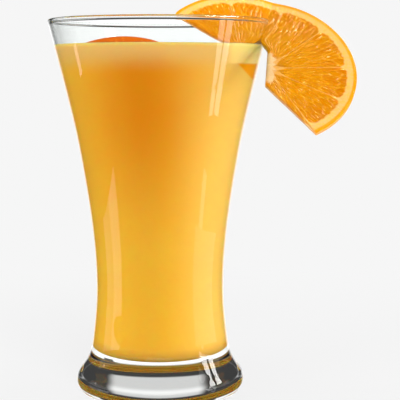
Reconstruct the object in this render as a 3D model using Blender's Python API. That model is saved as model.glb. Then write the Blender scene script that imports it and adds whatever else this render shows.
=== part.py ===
"""A flared, thick-footed glass of orange juice with a slice of orange slit over its rim.

Metres, +Z up. The origin is the centre of the glass's flat underside.
"""

from math import acos, cos, pi, radians, sin, sqrt

import bpy
import numpy as np

# Glass, turned about Z
GLASS_HEIGHT = 0.1471
RIM_RADIUS = 0.0430
RIM_FLARE = 0.24
MID_HEIGHT = 0.0956
MID_RADIUS = 0.0308
MID_FLARE = 0.175
WAIST_HEIGHT = 0.0436
WAIST_RADIUS = 0.02495
ANKLE_HEIGHT = 0.0226
ANKLE_RADIUS = 0.02655
ANKLE_FLARE = -0.12
FOOT_RADIUS = 0.0330
FOOT_WIDEST_HEIGHT = 0.0067
FOOT_SWELL = 0.0053
FOOT_FLARE = 0.0104
HEEL_REACH = 0.0096
WALL_AT_RIM = 0.0016
WALL_AT_WAIST = 0.0024
FLOOR_HEIGHT = 0.0172
FLOOR_CORNER = 0.0060
GLASS_STEPS = 60

# Juice
JUICE_LEVEL = 0.1370
MENISCUS_RISE = 0.0006
MENISCUS_REACH = 0.0022
GAP = 0.0003

# Slice of orange: angles are about its core, with the slit at 90 degrees
ORANGE_RADIUS = 0.0330
SLICE_THICKNESS = 0.0046
RIND_THICKNESS = 0.0013
PITH_THICKNESS = 0.0021
CORE_RADIUS = 0.0026
OVAL = 0.018
OVAL_FLAT_AT = radians(75.0)
FLESH_SINK = 0.00035
SLIT_LENGTH = 0.0276
SLIT_END = 0.0008
WALL_CLEARANCE = 0.00042
HUG_DEPTH = {1: 0.0140, -1: 0.0100}
HUG_FADE = 0.0050
HUG_WIDTH = 0.0080
CUT_DIRECTION = radians(-45.2)
CUT_BELOW_CORE = 0.0051
FAR_CUT = radians(162.0)
FAR_CUT_ABOVE_CORE = 0.0044
MEMBRANES = [radians(a) for a in (-54.1, -21.7, 8.7, 46.3, 82.0, 122.0, 162.0)]

# How the slice sits on the rim
SEAT_ANGLE = radians(-7.3)
SLICE_LEAN = radians(40.0)
SEAT_RISE = 0.0027
WING_SPREAD = radians(10.0)
SPREAD_FROM = radians(95.0)
SPREAD_TO = radians(265.0)

# Crest of the second slice, which stands in the juice
CREST_CENTRE = (-0.0128, -0.0100)
CREST_SHOWS = 0.0021
CREST_SUNK = 0.0030
CREST_LEAN = radians(36.0)
CREST_TURN = radians(-6.0)
CREST_THICKNESS = 0.0052


def bezier(p0, p1, p2, p3, count):
    """Points of a cubic Bezier curve, without its first point."""
    points = []
    for i in range(1, count + 1):
        t = i / count
        a, b, c, d = (1 - t) ** 3, 3 * t * (1 - t) ** 2, 3 * t * t * (1 - t), t**3
        points.append(tuple(a * w + b * x + c * y + d * z for w, x, y, z in zip(p0, p1, p2, p3)))
    return points


def hermite(start, end, height):
    """Radius at a height between two stations, each a height, a radius and a flare."""
    (z0, r0, m0), (z1, r1, m1) = start, end
    run = z1 - z0
    t = (height - z0) / run
    blend = t * t * (3 - 2 * t)
    return (
        r0 * (1 - blend)
        + r1 * blend
        + run * m0 * t * (1 - t) ** 2
        - run * m1 * t * t * (1 - t)
    )


def outer_radius(height):
    """Outer radius of the glass's bowl at a height above its ankle."""
    waist = (WAIST_HEIGHT, WAIST_RADIUS, 0.0)
    mid = (MID_HEIGHT, MID_RADIUS, MID_FLARE)
    if height < WAIST_HEIGHT:
        return hermite((ANKLE_HEIGHT, ANKLE_RADIUS, ANKLE_FLARE), waist, height)
    if height < MID_HEIGHT:
        return hermite(waist, mid, height)
    return hermite(mid, (GLASS_HEIGHT, RIM_RADIUS, RIM_FLARE), height)


def wall(height):
    """Thickness of the glass's wall, which thins evenly from waist to rim."""
    t = (height - WAIST_HEIGHT) / (GLASS_HEIGHT - WAIST_HEIGHT)
    return WALL_AT_WAIST + (WALL_AT_RIM - WALL_AT_WAIST) * max(0.0, t)


def inner_radius(height):
    return outer_radius(height) - wall(height)


def foot_profile():
    """The foot's outer side from the ankle down to the centre of the underside."""
    widest = (FOOT_RADIUS, FOOT_WIDEST_HEIGHT)
    ankle = (ANKLE_RADIUS, ANKLE_HEIGHT)
    below_ankle = (ANKLE_RADIUS - ANKLE_FLARE * FOOT_FLARE, ANKLE_HEIGHT - FOOT_FLARE)
    above_widest = (FOOT_RADIUS, FOOT_WIDEST_HEIGHT + FOOT_SWELL)
    points = bezier(widest, above_widest, below_ankle, ankle, 9)[::-1] + [widest]
    heel_steps = 6
    for i in range(1, heel_steps + 1):
        turn = i / heel_steps * pi / 2
        points.append(
            (
                FOOT_RADIUS - HEEL_REACH * (1 - cos(turn)),
                FOOT_WIDEST_HEIGHT * (1 - sin(turn)),
            )
        )
    return points + [(0.0, 0.0)]


def cavity_profile(gap, top):
    """The inside of the glass, drawn in by a gap, from the middle of its floor up to a height."""
    corner_top = FLOOR_HEIGHT + FLOOR_CORNER
    corner_out = inner_radius(corner_top)
    radius = FLOOR_CORNER - gap
    points = [(0.0, FLOOR_HEIGHT + gap)]
    for i in range(6):
        turn = i / 5 * pi / 2
        points.append(
            (
                corner_out - FLOOR_CORNER + radius * sin(turn),
                corner_top - radius * cos(turn),
            )
        )
    rows = 14
    for i in range(1, rows + 1):
        height = corner_top + (top - corner_top) * i / rows
        points.append((inner_radius(height) - gap, height))
    return points


def turned(name, profile, steps):
    """A solid turned about Z from a profile that runs from the axis back to the axis, down its outer side."""
    mesh = bpy.data.meshes.new(name)
    points = [(r, 0.0, z) for r, z in profile]
    mesh.from_pydata(points, [(i, i + 1) for i in range(len(points) - 1)], [])
    obj = bpy.data.objects.new(name, mesh)
    bpy.context.scene.collection.objects.link(obj)
    screw = obj.modifiers.new("Turn", "SCREW")
    screw.axis = "Z"
    screw.steps = screw.render_steps = steps
    screw.use_merge_vertices = True
    screw.merge_threshold = 1e-6
    screw.use_smooth_shade = True
    return obj


def material(name, colour, roughness, transmission=0.0, subsurface=0.0):
    made = bpy.data.materials.new(name)
    made.use_nodes = True
    shader = made.node_tree.nodes["Principled BSDF"]
    shader.inputs["Base Color"].default_value = (*colour, 1.0)
    shader.inputs["Roughness"].default_value = roughness
    shader.inputs["Metallic"].default_value = 0.0
    shader.inputs["Transmission Weight"].default_value = transmission
    shader.inputs["Subsurface Weight"].default_value = subsurface
    shader.inputs["Subsurface Scale"].default_value = 0.01
    return made


def make_glass():
    lip = WALL_AT_RIM / 2
    lip_height = GLASS_HEIGHT - lip
    profile = cavity_profile(0.0, lip_height)
    middle = (profile[-1][0] + outer_radius(lip_height)) / 2
    reach = outer_radius(lip_height) - middle
    for i in range(1, 5):
        turn = i / 4 * pi
        profile.append((middle - reach * cos(turn), lip_height + lip * sin(turn)))
    rows = 16
    for i in range(1, rows):
        height = lip_height + (ANKLE_HEIGHT - lip_height) * i / rows
        profile.append((outer_radius(height), height))
    glass = turned("glass", profile + foot_profile(), GLASS_STEPS)
    glass.data.materials.append(material("clear_glass", (0.96, 0.98, 0.97), 0.02, transmission=1.0))
    return glass


def make_juice():
    edge_height = JUICE_LEVEL + MENISCUS_RISE
    side = cavity_profile(GAP, edge_height)
    edge = side[-1][0]
    top = [
        (0.0, JUICE_LEVEL),
        (edge - MENISCUS_REACH, JUICE_LEVEL),
        (edge - MENISCUS_REACH * 0.4, JUICE_LEVEL + MENISCUS_RISE * 0.3),
    ]
    juice = turned("juice", top + side[::-1], GLASS_STEPS)
    juice.data.materials.append(material("orange_juice", (0.90, 0.44, 0.04), 0.25, subsurface=0.4))
    return juice


def seat_frame():
    """The end of the slit above the rim, and the slice's own axes: out of the wall, up the slit, off the face."""
    out = np.array((cos(SEAT_ANGLE), sin(SEAT_ANGLE), 0.0))
    along = np.array((-sin(SEAT_ANGLE), cos(SEAT_ANGLE), 0.0))
    up = np.array((0.0, 0.0, 1.0))
    length = sqrt(1 + RIM_FLARE**2)
    u = (out - RIM_FLARE * up) / length
    v = cos(SLICE_LEAN) * (RIM_FLARE * out + up) / length + sin(SLICE_LEAN) * along
    seat = out * (RIM_RADIUS - WALL_AT_RIM / 2) + up * GLASS_HEIGHT + SEAT_RISE * v
    return seat, u, v, np.cross(u, v)


def rind_reach(angle):
    """Distance from the core to the outside of the rind: a circle, a little flattened."""
    return ORANGE_RADIUS * (1 - OVAL * cos(2 * (angle - OVAL_FLAT_AT)))


def cut_reach(angle):
    """Distance from the core to the lower cut."""
    return CUT_BELOW_CORE / cos(angle - CUT_DIRECTION + pi / 2)


def cut_angle_at_tip():
    """The angle at which the lower cut meets the rind."""
    angle = MEMBRANES[0]
    for _ in range(20):
        angle = CUT_DIRECTION - pi / 2 + acos(CUT_BELOW_CORE / rind_reach(angle))
    return angle


def face_point(angle, share, side):
    """A point of the flat slice, a share of the way from its fan's centre to its edge.

    The fan's centre is the core, or for the wing past the slit a point of the slit above the core,
    because the far cut ends there.
    """
    edge = outline_reach(angle)
    start = 0.0 if side > 0 else FAR_CUT_ABOVE_CORE
    return edge * share * cos(angle), start * (1 - share) + edge * share * sin(angle)


def outline_reach(angle):
    """Distance from the core to the slice's edge: the rind, or the lower cut past its tip."""
    return rind_reach(angle) if angle >= cut_angle_at_tip() - 1e-9 else cut_reach(angle)


def spread(point, side):
    """Opens the slit: each wing turns about the slit's end, and the bridge above it bends between them."""
    x, y = point[0], point[1] - SLIT_LENGTH
    reach = sqrt(x * x + y * y)
    bearing = np.arctan2(x, -y) % (2 * pi) if reach > 1e-9 else pi
    if side < 0 and bearing < pi / 2:
        bearing += 2 * pi
    t = min(1.0, max(0.0, (bearing - SPREAD_FROM) / (SPREAD_TO - SPREAD_FROM)))
    bearing += WING_SPREAD * (1 - 2 * t * t * (3 - 2 * t))
    return reach * sin(bearing), -reach * cos(bearing)


def short_of_wall(place, side):
    """How far a point is from standing clear of the glass's wall. It is below 0 where there is room."""
    radius = sqrt(place[0] ** 2 + place[1] ** 2)
    if side > 0:
        return outer_radius(place[2]) + WALL_CLEARANCE - radius
    return radius - inner_radius(place[2]) + WALL_CLEARANCE


def clear_of_wall(place, out_axis, side):
    """Moves a point along the slice's outward axis until it stands clear of the glass's wall, or of its rise."""
    for _ in range(4):
        short = short_of_wall(place, side)
        if short <= 0:
            return place
        place = place + side * short * out_axis
    return place


def fade(value, start, width):
    """1 below start, 0 past start + width, and a smooth step between."""
    t = min(1.0, max(0.0, (value - start) / width))
    return 1 - t * t * (3 - 2 * t)


def place_point(flat, off, side):
    """Place of a point of the flat slice: spread, drawn to the wall along the slit, and clear of it."""
    seat, u, v, n = seat_frame()
    x, y = spread(flat, side)
    place = seat + x * u + y * v + off * n
    if y >= 0:
        return place
    edge_x, edge_y = spread((0.0, flat[1]), side)
    room = -short_of_wall(seat + edge_x * u + edge_y * v + off * n, side)
    hug = fade(abs(flat[0]), 0.0, HUG_WIDTH) * fade(SLIT_LENGTH - flat[1], HUG_DEPTH[side], HUG_FADE)
    return clear_of_wall(place - side * hug * max(0.0, room) * u, u, side)


def flesh_relief(flat):
    """How far the cut face lies below the rind's edge: flesh is sunk between its membranes, core and pith."""
    reach = sqrt(flat[0] ** 2 + flat[1] ** 2)
    angle = np.arctan2(flat[1], flat[0])
    pith_edge = rind_reach(angle) - RIND_THICKNESS - PITH_THICKNESS
    inside = min(1.0, max(0.0, (pith_edge - reach) / 0.0010))
    off_core = min(1.0, max(0.0, (reach - CORE_RADIUS) / 0.0015))
    nearest = min(abs(angle - membrane) for membrane in MEMBRANES)
    off_membrane = min(1.0, max(0.0, (nearest * reach - 0.0002) / 0.0012))
    return FLESH_SINK * inside * off_core * off_membrane


def slice_angles():
    """Angles of the slice's columns: the lower cut, then each segment between its membranes."""
    tip = cut_angle_at_tip()
    angles = [-pi / 2 + (tip + pi / 2) * (i / 5) ** 0.6 for i in range(5)]
    stops = [tip] + MEMBRANES[1:4] + [MEMBRANES[4], pi / 2, MEMBRANES[5], MEMBRANES[6]]
    for start, end in zip(stops, stops[1:]):
        span = end - start
        near = min(0.22, radians(3.0) / span)
        shares = [0.0, near, 0.36, 0.64, 1 - near] if span > radians(10) else [0.0, 0.5]
        angles += [start + span * share for share in shares]
    return angles + [stops[-1]]


def slice_reaches():
    """Shares of the way from core to edge, as the slice's rows, and the row where the slit ends."""
    edge = rind_reach(pi / 2)
    pith_edge = edge - RIND_THICKNESS
    flesh_edge = pith_edge - PITH_THICKNESS
    inner = [0.0, 0.0025, 0.0041, 0.0080, 0.0125, 0.0175, 0.0220, 0.0250, SLIT_LENGTH - SLIT_END]
    outer = [SLIT_LENGTH, flesh_edge, pith_edge, edge]
    return [reach / edge for reach in inner + outer], len(inner)


def slice_surface():
    """Vertices and faces of the slice: a cut face, a back face and the edge that joins them.

    Each face is two fans, one for each wing. The column at the slit is doubled as far as the slit's end.
    """
    angles = slice_angles()
    tip = cut_angle_at_tip()
    shares, slit_row = slice_reaches()
    slit = angles.index(pi / 2)
    columns = [(angle, 1) for angle in angles[: slit + 1]] + [(angle, -1) for angle in angles[slit:]]
    points = []
    index = {}

    def vertex(face, column, row):
        """Index of the point of one face at a column and a row, made when it is first asked for."""
        angle, side = columns[column]
        if angle == pi / 2 and row >= slit_row:
            column = slit
        if row == 0:
            column = 0 if side > 0 else len(columns) - 1
        key = (face, column, row)
        if key not in index:
            flat = face_point(angle, shares[row], side)
            relief = flesh_relief(flat) if angle > tip else 0.0
            index[key] = len(points)
            points.append(place_point(flat, face * (SLICE_THICKNESS / 2 - relief), side))
        return index[key]

    faces = []
    last = len(shares) - 1
    for column in range(len(columns) - 1):
        if column == slit:
            continue
        for row in range(last):
            for face in (1, -1):
                corners = [
                    vertex(face, column, row),
                    vertex(face, column, row + 1),
                    vertex(face, column + 1, row + 1),
                    vertex(face, column + 1, row),
                ]
                corners = list(dict.fromkeys(corners))
                faces.append(corners if face > 0 else corners[::-1])
    rim = [(0, row) for row in range(last)]
    rim += [(column, last) for column in range(len(columns)) if column != slit + 1]
    end = len(columns) - 1
    rim += [(end, row) for row in range(last - 1, -1, -1)]
    rim += [(slit + 1, row) for row in range(1, slit_row)]
    rim += [(slit, row) for row in range(slit_row, 0, -1)]
    for here, there in zip(rim, rim[1:] + rim[:1]):
        faces.append(
            [
                vertex(1, *there),
                vertex(1, *here),
                vertex(-1, *here),
                vertex(-1, *there),
            ]
        )
    return points, faces


def mesh_object(name, points, faces):
    mesh = bpy.data.meshes.new(name)
    mesh.from_pydata([tuple(point) for point in points], [], faces)
    obj = bpy.data.objects.new(name, mesh)
    bpy.context.scene.collection.objects.link(obj)
    mesh.shade_smooth()
    mesh.set_sharp_from_angle(angle=radians(40))
    return obj


def prism(name, outline, centre, across, upward, facing, thickness):
    """A closed prism on an outline of the plane that across and upward span, as thick as facing is long."""
    count = len(outline)
    points = []
    for share in (0.5, -0.5):
        for x, y in outline:
            points.append(centre + x * across + y * upward + share * thickness * facing)
    faces = [list(range(count)), list(range(2 * count - 1, count - 1, -1))]
    for i in range(count):
        j = (i + 1) % count
        faces.append([j, i, count + i, count + j])
    return mesh_object(name, points, faces)


def make_slice():
    points, faces = slice_surface()
    piece = mesh_object("orange_slice", points, faces)
    piece.data.materials.append(material("orange_flesh", (0.93, 0.36, 0.03), 0.35, subsurface=0.2))
    return piece


def slice_pocket():
    """A cutter a gap larger all round than the wing of the slice that dips into the juice."""
    seat, u, v, n = seat_frame()
    margin = GAP * 1.3
    steps = 12
    arc = [pi / 2 + (FAR_CUT - pi / 2) * i / steps for i in range(steps + 1)]
    flat = [((rind_reach(a) + margin) * cos(a), (rind_reach(a) + margin) * sin(a)) for a in arc]
    drop = margin * 1.5
    reach = rind_reach(FAR_CUT) + margin
    flat[-1] = (reach * cos(FAR_CUT) - margin, reach * sin(FAR_CUT) - drop)
    flat += [(margin, FAR_CUT_ABOVE_CORE - drop), (margin, SLIT_LENGTH)]
    outline = [spread(point, -1) for point in flat]
    return prism("slice_pocket", outline, seat, u, v, n, SLICE_THICKNESS + 2 * margin)


def crest_frame():
    """The crest's middle on the juice's level, and its axes: along it, up its face, off its face."""
    across = np.array((cos(CREST_TURN), sin(CREST_TURN), 0.0))
    back = np.array((-sin(CREST_TURN), cos(CREST_TURN), 0.0))
    upward = cos(CREST_LEAN) * np.array((0.0, 0.0, 1.0)) + sin(CREST_LEAN) * back
    middle = np.array((*CREST_CENTRE, JUICE_LEVEL))
    return middle, across, upward, np.cross(across, upward)


def crest_outline(radius, top, bottom, steps):
    """The crown of a disc of the radius whose highest point is at top, cut off flat at bottom."""
    half = acos((radius - top + bottom) / radius)
    points = []
    for i in range(steps + 1):
        angle = half - 2 * half * i / steps
        points.append((radius * sin(-angle), top - radius + radius * cos(angle)))
    return points[::-1]


def make_crest():
    middle, across, upward, facing = crest_frame()
    outline = crest_outline(ORANGE_RADIUS, CREST_SHOWS, -CREST_SUNK, 20)
    piece = prism("sunk_slice", outline, middle, across, upward, facing, CREST_THICKNESS)
    bevel = piece.modifiers.new("Edge", "BEVEL")
    bevel.width = 0.0006
    bevel.segments = 2
    bevel.limit_method = "ANGLE"
    piece.data.materials.append(material("orange_rind", (0.90, 0.30, 0.03), 0.4, subsurface=0.1))
    return piece


def crest_pocket():
    middle, across, upward, facing = crest_frame()
    outline = crest_outline(ORANGE_RADIUS + GAP, CREST_SHOWS + GAP, -CREST_SUNK - GAP, 20)
    return prism("crest_pocket", outline, middle, across, upward, facing, CREST_THICKNESS + 2 * GAP)


def cut(target, cutter):
    cutter.hide_render = True
    cutter.display_type = "WIRE"
    boolean = target.modifiers.new(cutter.name, "BOOLEAN")
    boolean.operation = "DIFFERENCE"
    boolean.solver = "EXACT"
    boolean.object = cutter


def main():
    for obj in list(bpy.data.objects):
        bpy.data.objects.remove(obj, do_unlink=True)
    make_glass()
    juice = make_juice()
    make_slice()
    make_crest()
    cut(juice, slice_pocket())
    cut(juice, crest_pocket())


main()
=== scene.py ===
"""The looks of a glass of orange juice with a slice on its rim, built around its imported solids.

Metres, +Z up. The origin is the centre of the glass's flat underside.
"""

from math import acos, cos, pi, radians, sin, sqrt

import bmesh
import bpy
import numpy as np
from mathutils import Matrix, Vector


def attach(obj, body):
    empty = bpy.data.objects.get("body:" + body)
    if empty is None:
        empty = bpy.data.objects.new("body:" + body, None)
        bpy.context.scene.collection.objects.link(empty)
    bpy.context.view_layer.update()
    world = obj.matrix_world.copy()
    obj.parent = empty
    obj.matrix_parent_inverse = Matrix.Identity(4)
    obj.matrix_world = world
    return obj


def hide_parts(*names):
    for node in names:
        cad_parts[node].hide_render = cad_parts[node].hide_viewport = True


bl_info = {
    "name": "Glass of Orange Juice",
    "version": (1, 0, 0),
    "blender": (4, 5, 0),
    "location": "View3D > Sidebar > Juice",
    "description": "Builds a flared glass of orange juice with a slice of orange on its rim",
    "category": "Object",
}

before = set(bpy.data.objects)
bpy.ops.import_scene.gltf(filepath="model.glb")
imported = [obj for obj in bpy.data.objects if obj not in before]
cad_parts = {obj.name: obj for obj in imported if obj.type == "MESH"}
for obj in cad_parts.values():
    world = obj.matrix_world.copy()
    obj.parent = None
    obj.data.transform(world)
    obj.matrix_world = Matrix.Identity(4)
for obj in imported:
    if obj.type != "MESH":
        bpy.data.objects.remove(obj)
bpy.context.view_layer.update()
BODY = "root"


# Settings


def length(name, default, description):
    """A length in metres."""
    return bpy.props.FloatProperty(
        name=name,
        description=description,
        default=default,
        min=-1.0,
        max=1.0,
        precision=5,
        unit="LENGTH",
    )


def turn(name, default, description):
    """An angle, with its default in degrees."""
    return bpy.props.FloatProperty(
        name=name,
        description=description,
        default=radians(default),
        unit="ROTATION",
        subtype="ANGLE",
    )


def share(name, default, description, top=1.0):
    """A plain number from 0 to top."""
    return bpy.props.FloatProperty(
        name=name, description=description, default=default, min=0.0, max=top, precision=3
    )


def colour(name, default, description):
    """A colour, with its default as the three bytes of a picture."""
    return bpy.props.FloatVectorProperty(
        name=name,
        description=description,
        default=linear(default),
        size=3,
        min=0.0,
        max=1.0,
        subtype="COLOR",
    )


def linear(rgb):
    """Turns three bytes of a picture into scene light, by the sRGB curve."""
    parts = np.array(rgb) / 255.0
    return tuple(np.where(parts <= 0.04045, parts / 12.92, ((parts + 0.055) / 1.055) ** 2.4).tolist())


class GlassSettings(bpy.types.PropertyGroup):
    """Sizes of the glass."""

    height: length("Height", 0.1471, "Height of the rim above the underside")
    rim_radius: length("Rim Radius", 0.0430, "Outer radius that the bowl runs to at the rim")
    rim_flare: share("Rim Flare", 0.24, "Outward run of the bowl for each unit of height, at the rim")
    mid_height: length("Middle Height", 0.0956, "Height of the bowl's middle station")
    mid_radius: length("Middle Radius", 0.0308, "Outer radius at the middle station")
    mid_flare: share("Middle Flare", 0.175, "Outward run of the bowl at the middle station")
    waist_height: length("Waist Height", 0.0436, "Height of the narrowest place")
    waist_radius: length("Waist Radius", 0.02495, "Outer radius at the waist")
    ankle_height: length("Ankle Height", 0.0226, "Height at which the foot begins")
    ankle_radius: length("Ankle Radius", 0.02655, "Outer radius where the foot begins")
    ankle_flare: length("Ankle Flare", -0.12, "Outward run at the ankle, below 0 as it widens downward")
    foot_radius: length("Foot Radius", 0.0330, "Outer radius of the foot where it is widest")
    foot_widest: length("Foot Widest", 0.0067, "Height at which the foot is widest")
    foot_swell: length("Foot Swell", 0.0053, "How far the foot runs upright above its widest place")
    foot_flare: length("Foot Flare", 0.0104, "How far the ankle's flare runs on downward")
    heel_reach: length("Heel Reach", 0.0096, "How far in the heel rounds to the flat underside")
    wall_at_rim: length("Wall at Rim", 0.0016, "Thickness of the rim's bead")
    wall_at_waist: length("Wall at Waist", 0.0024, "Thickness of the wall at the waist")
    neck_outer: length("Outer Neck", 0.00016, "How far the outer face draws in below the rim's bead")
    neck_inner: length("Inner Neck", 0.00050, "How far the inner face draws out below the rim's bead")
    floor_height: length("Floor Height", 0.0172, "Height of the inside's floor")
    floor_corner: length("Floor Corner", 0.0060, "Radius between the inside's floor and its wall")
    tint: colour("Tint", (251, 253, 252), "Colour of the clear glass")
    ior: share("Index of Refraction", 1.5, "How strongly the glass bends light", 3.0)


class JuiceSettings(bpy.types.PropertyGroup):
    """Level and colours of the juice."""

    level: length("Level", 0.1370, "Height of the juice's surface")
    meniscus_rise: length("Meniscus Rise", 0.0006, "How far the juice climbs the wall")
    meniscus_reach: length("Meniscus Reach", 0.0022, "How far from the wall the climb begins")
    into_wall: length("Into the Wall", 0.00012, "How far the juice reaches into the glass")
    # Painted light: Deep, Bright, Pale and Foot stand in for light on the juice's own Body colour: deeper where
    # light passes through more juice, lighter toward the light and just under the surface, yellower at the
    # foot.
    deep: colour("Deep", (226, 142, 14), "Colour where the juice is thickest")
    bright: colour("Bright", (246, 204, 116), "Colour of the juice on the side toward the light")
    body: colour("Body", (240, 186, 54), "Colour of most of the juice")
    pale: colour("Pale", (226, 186, 104), "Colour just below the surface")
    foot: colour("Foot", (238, 174, 70), "Colour of the juice beside its floor")
    # Painted reflection: Pale Dip and Deep Dip are the slice as the glass reflects it, its pith and its flesh,
    # painted on the juice beside it.
    pith_reflection: colour("Pale Dip", (255, 216, 128), "Colour beside the slice just below the surface")
    flesh_reflection: colour("Deep Dip", (246, 156, 0), "Colour of the slice's end in the juice")
    scatter: length("Scatter", 0.0050, "How far red light goes through the juice")


class SliceSettings(bpy.types.PropertyGroup):
    """Sizes, seat and colours of the slice on the rim."""

    radius: length("Radius", 0.03295, "Radius of the orange")
    thickness: length("Thickness", 0.0046, "Thickness of the slice")
    rind: length("Rind", 0.0013, "Thickness of the coloured rind")
    pith: length("Pith", 0.0024, "Thickness of the pale pith")
    bevel: length("Bevel", 0.0018, "How far the face rounds over at its cut edges")
    oval: share("Oval", 0.018, "How far the slice is from a true circle")
    oval_flat_at: turn("Oval Flat At", 75.0, "Direction in which the circle is flattened")
    slit_length: length("Slit Length", 0.0276, "Distance from the core to the slit's end")
    outer_reach: length("Outer Reach", 0.00050, "How far the outer wing's wet edge grips into the glass")
    inner_reach: length("Inner Reach", 0.00060, "How far the inner wing's wet edge grips into the glass")
    slant: share("Slant", 0.45, "How far the slice is cut aslant, as the run down its slit for its thickness")
    hug_outer: length("Outer Hug", 0.0140, "How far down the outer wing lies along the wall")
    hug_inner: length("Inner Hug", 0.0132, "How far down the inner wing lies along the wall")
    hug_fade: length("Hug Fade", 0.0050, "Over what depth a wing then leaves the wall")
    hug_width: length("Hug Width", 0.0080, "How far from the slit a wing is drawn to the wall")
    cut_direction: turn("Cut Direction", -45.2, "Direction of the lower cut")
    cut_below_core: length("Cut Below Core", 0.0051, "Distance from the core to the lower cut")
    far_cut: turn("Far Cut", 162.0, "Direction in which the inner wing ends")
    far_cut_above: length("Far Cut Above Core", 0.0044, "Height above the core where it meets the slit")
    seat_angle: turn("Seat Angle", -7.3, "Place on the rim, about the glass's axis")
    lean: turn("Lean", 40.0, "How far the slice leans back")
    seat_rise: length("Seat Rise", 0.0027, "Height of the slit's end above the rim")
    wing_spread: turn("Wing Spread", 10.0, "How far each wing turns as the slit opens")
    flesh: colour("Flesh", (181, 117, 0), "Colour of the flesh")
    flesh_deep: colour("Deep Flesh", (173, 99, 0), "Colour of the flesh near the rind")
    flesh_pale: colour("Pale Flesh", (214, 156, 40), "Colour of the skins between the cells")
    pith_colour: colour("Pith Colour", (198, 154, 92), "Colour of the pith and the skins")
    core_colour: colour("Core Colour", (196, 160, 110), "Colour of the core")
    rind_colour: colour("Rind Colour", (204, 130, 8), "Colour of the rind where it is cut")
    peel_colour: colour("Peel Colour", (214, 136, 12), "Colour of the outside of the rind")
    # Painted highlight: the brightest wet streaks stand for glints of light on the wet flesh.
    painted_glint: colour("Glint", (255, 226, 150), "Colour of the brightest wet streaks")


class CrestSettings(bpy.types.PropertyGroup):
    """Place and colours of the crest that breaks the juice's surface."""

    x: length("Across", -0.0128, "Place of its middle across the glass")
    y: length("Along", -0.0115, "Place of its middle from front to back")
    shows: length("Shows", 0.0029, "Height above the juice, along its lean")
    sunk: length("Sunk", 0.0030, "Depth below the juice, along its lean")
    lean: turn("Lean", 36.0, "How far it leans back")
    turned: turn("Turned", -6.0, "How far it is turned about the vertical")
    thickness: length("Thickness", 0.0052, "Thickness of the fruit")
    radius: length("Radius", 0.0330, "Radius of the fruit")
    colour: colour("Colour", (198, 92, 0), "Colour of the fruit")
    # Painted highlight: the specks stand for glints on the bumpy peel.
    highlight_speck: colour("Specks", (232, 146, 50), "Colour of its lighter specks")


class StageSettings(bpy.types.PropertyGroup):
    """Camera, floor and lights."""

    backdrop: colour("Backdrop", (246, 246, 246), "Colour of the floor and of what is behind it")
    eye: bpy.props.FloatVectorProperty(
        name="Eye",
        description="Place of the camera",
        default=(0.01574, -0.450, 0.1261),
        size=3,
        subtype="TRANSLATION",
        unit="LENGTH",
    )
    pitch: turn("Pitch", 6.19, "How far the camera looks down")
    field: turn("Field of View", 19.63, "Width of what the camera sees")
    white: share("White", 1.22, "Light of the pale surroundings at the glass's level", 10.0)
    grey: share("Grey", 0.70, "Light of the surroundings a little higher", 10.0)
    dark: share("Dark", 0.05, "Light of the dark surroundings", 10.0)


# Curves shared by the glass and what touches it


def smooth(low, high, value):
    """0 below low, 1 above high, and 3t^2 - 2t^3 of the way t between them."""
    t = np.clip((value - low) / (high - low), 0.0, 1.0)
    return t * t * (3 - 2 * t)


def hermite(start, end, height):
    """Cubic Hermite curve: radius at a height between two stations, each a height, a radius and a flare."""
    (z0, r0, m0), (z1, r1, m1) = start, end
    run = z1 - z0
    t = (height - z0) / run
    blend = t * t * (3 - 2 * t)
    return r0 + (r1 - r0) * blend + run * (m0 * t * (1 - t) ** 2 - m1 * t * t * (1 - t))


def outer_radius(glass, height):
    """Outer radius of the bowl: three Hermite curves through ankle, waist, middle and rim."""
    ankle = (glass.ankle_height, glass.ankle_radius, glass.ankle_flare)
    waist = (glass.waist_height, glass.waist_radius, 0.0)
    mid = (glass.mid_height, glass.mid_radius, glass.mid_flare)
    rim = (glass.height, glass.rim_radius, glass.rim_flare)
    upper = np.where(height < glass.mid_height, hermite(waist, mid, height), hermite(mid, rim, height))
    return np.where(height < glass.waist_height, hermite(ankle, waist, height), upper)


def wall(glass, height):
    """Thickness of the wall, which thins evenly from waist to rim."""
    t = np.maximum(0.0, (height - glass.waist_height) / (glass.height - glass.waist_height))
    return glass.wall_at_waist + (glass.wall_at_rim - glass.wall_at_waist) * t


def inner_radius(glass, height):
    """Inner radius of the bowl: the outer one less the wall."""
    return outer_radius(glass, height) - wall(glass, height)


def neck(glass, height):
    """Share of the neck below the rim's bead: full a millimetre down, then fading out down the wall."""
    below = glass.height - glass.wall_at_rim / 2 - height
    return smooth(0.0, 0.0010, below) * (1 - smooth(0.006, 0.034, below))


def quarter(centre, radius, start, end, count):
    """Points on an arc of a profile: centre plus radius times the cosine and sine of the turn."""
    angles = np.linspace(start, end, count)
    return np.column_stack([centre[0] + radius * np.cos(angles), centre[1] + radius * np.sin(angles)])


def cavity_profile(glass, out, top, rows):
    """Inside of the glass, moved out by a distance, from the middle of its floor up to a height."""
    corner_top = glass.floor_height + glass.floor_corner
    centre = (float(inner_radius(glass, corner_top)) - glass.floor_corner, corner_top)
    corner = quarter(centre, glass.floor_corner + out, -pi / 2, 0.0, 16)
    height = np.linspace(corner_top, top, rows)[1:]
    side = np.column_stack([inner_radius(glass, height) + glass.neck_inner * neck(glass, height) + out, height])
    flat = np.linspace(0.0, centre[0], 8)[:-1]
    floor = np.column_stack([flat, np.full(len(flat), glass.floor_height - out)])
    return np.vstack([floor, corner, side])


def bezier(points, count):
    """Cubic Bezier curve: its four points weighted by the Bernstein polynomials."""
    t = np.linspace(0.0, 1.0, count)[:, None]
    p0, p1, p2, p3 = (np.array(point) for point in points)
    return (1 - t) ** 3 * p0 + 3 * t * (1 - t) ** 2 * p1 + 3 * t * t * (1 - t) * p2 + t**3 * p3


# Meshes


def into_scene(name, data):
    """Puts a mesh, a light or a camera into the scene as an object."""
    piece = bpy.data.objects.new(name, data)
    bpy.context.scene.collection.objects.link(piece)
    return piece


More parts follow.
